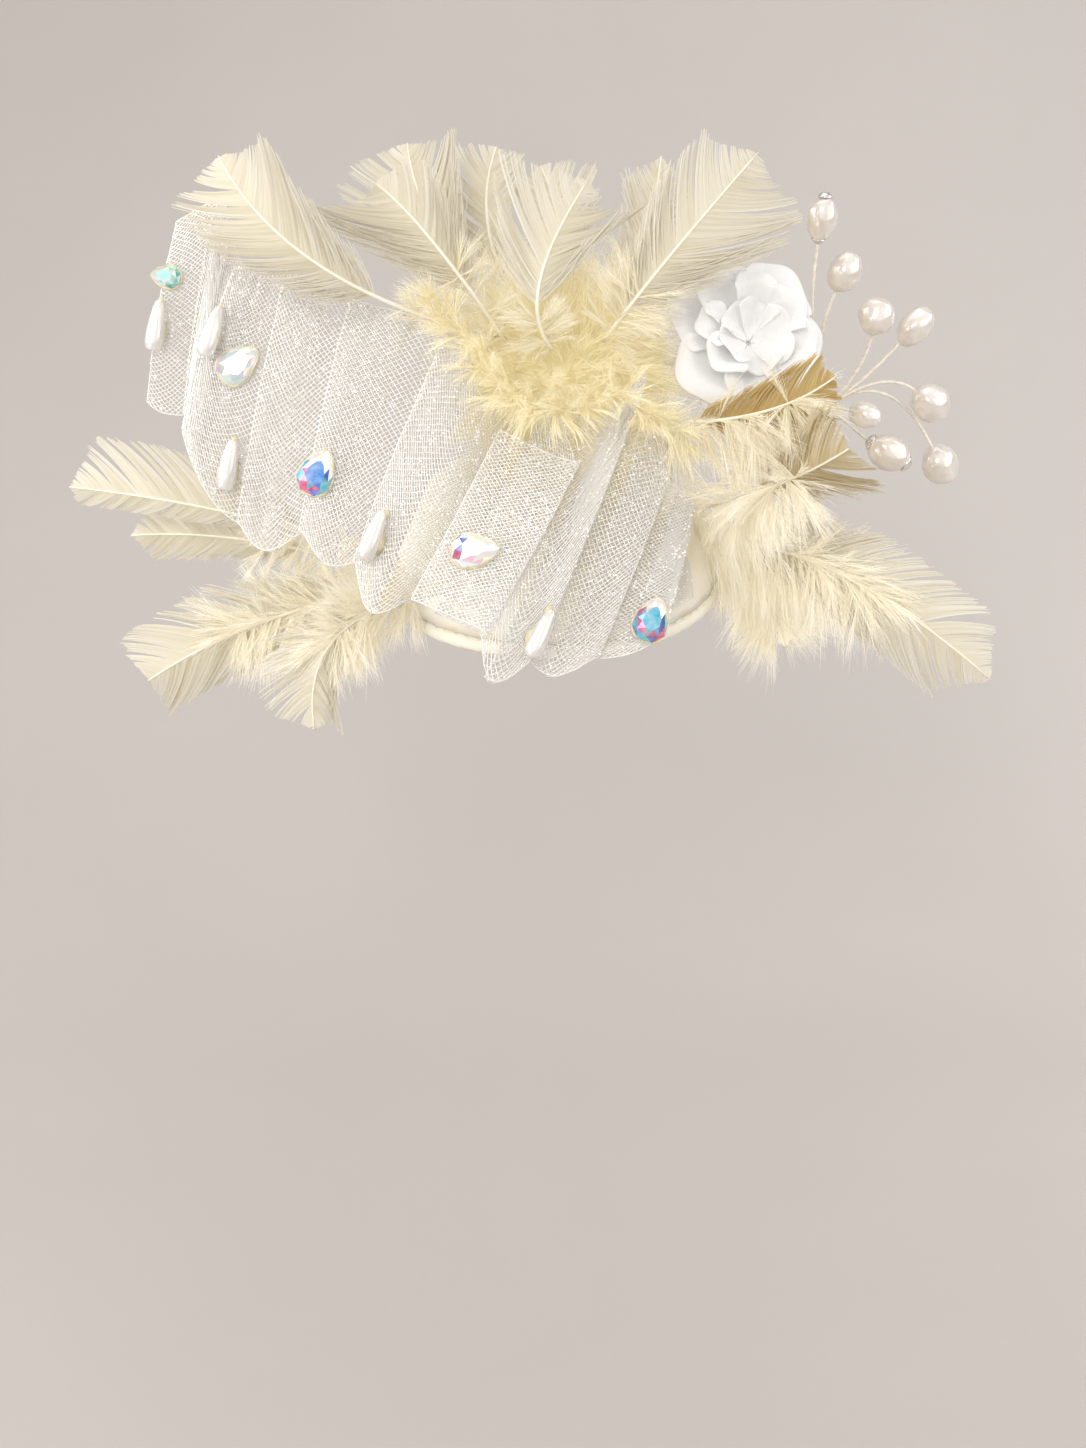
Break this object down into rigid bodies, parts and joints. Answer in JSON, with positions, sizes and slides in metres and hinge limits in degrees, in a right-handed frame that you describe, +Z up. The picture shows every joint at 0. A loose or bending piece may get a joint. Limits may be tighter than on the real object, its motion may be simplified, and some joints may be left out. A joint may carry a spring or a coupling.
{
  "type": "feather fascinator",
  "caption": "Satin dome fascinator with pleated net, trimmed feathers, down, a fabric flower, a wired pearl spray and glued jewels.",
  "frame": {"origin": "middle of the dome's open underside, where it sits on a head", "axes": "+Z up, -Y the front, +X the wearer's left as seen from the front at right"},
  "size_m": [0.2843, 0.1292, 0.174],
  "materials": {
    "satin": "pale ivory-yellow satin",
    "comb": "translucent cream plastic",
    "net": "open white nylon net with a glint",
    "down": "fluffy pale yellow down",
    "feather": "cream feather with fine barbs",
    "tan_feather": "darker straw-coloured feather",
    "petal": "matte white fabric",
    "wire": "thread-wrapped wire",
    "pearl": "champagne nacre",
    "drop": "white pearl lacquer",
    "crystal": "faceted glass with a rainbow coat"
  },
  "bodies": {
    "root": {"base_dome": "satin", "edge_binding": "satin", "hair_comb": "comb", "crin_left": "net", "crin_right": "net", "marabou_puff": "down", "feather_top_1": "feather", "feather_top_2": "feather", "feather_top_3": "feather", "feather_top_4": "feather", "feather_top_5": "feather", "feather_top_6": "feather", "feather_top_7": "feather", "feather_top_8": "feather", "feather_left_1": "feather", "feather_left_2": "feather", "feather_left_3": "feather", "feather_left_4": "feather", "feather_right_1": "tan_feather", "feather_right_2": "tan_feather", "feather_right_3": "feather", "marabou_plume": "down", "flower_outer": "petal", "flower_inner": "petal", "flower_heart": "petal", "spray_wires": "wire", "spray_pearl_1": "pearl", "spray_pearl_2": "pearl", "spray_pearl_3": "pearl", "spray_pearl_4": "pearl", "spray_pearl_5": "pearl", "spray_pearl_6": "pearl", "spray_pearl_7": "pearl", "spray_pearl_8": "pearl", "spray_pearl_9": "pearl", "teardrop_pearl_1": "drop", "teardrop_pearl_2": "drop", "teardrop_pearl_3": "drop", "teardrop_pearl_4": "drop", "teardrop_pearl_5": "drop", "crystal_1": "crystal", "crystal_2": "crystal", "crystal_3": "crystal", "crystal_4": "crystal", "crystal_5": "crystal"}
  },
  "joints": []
}
